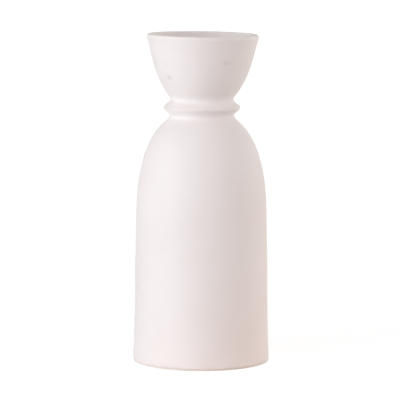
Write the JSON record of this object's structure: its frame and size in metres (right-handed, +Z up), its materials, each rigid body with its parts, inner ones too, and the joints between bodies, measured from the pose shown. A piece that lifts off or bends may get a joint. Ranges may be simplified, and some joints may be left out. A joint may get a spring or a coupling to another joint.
{
  "type": "bottle vase",
  "caption": "Tall matt ceramic bottle vase: a straight wall domes in to a beaded neck, and a flared cup-shaped mouth stands on it.",
  "frame": {"origin": "on the table at the middle of the foot ring, the bottom centre of the vase", "axes": "+Z up along the axis the vase is turned on; X and Y are alike, because the vase is round"},
  "size_m": [0.125, 0.125, 0.2999],
  "materials": {
    "matt_white_slip": "smooth matt white slip, fired, faintly warm, with a few small pits",
    "bare_clay": "bare fired clay, slightly rough"
  },
  "bodies": {
    "root": {"foot_ring": "bare_clay", "base_floor": "bare_clay", "body_wall": "matt_white_slip", "neck_collar": "matt_white_slip", "mouth_cup": "matt_white_slip"}
  },
  "joints": []
}
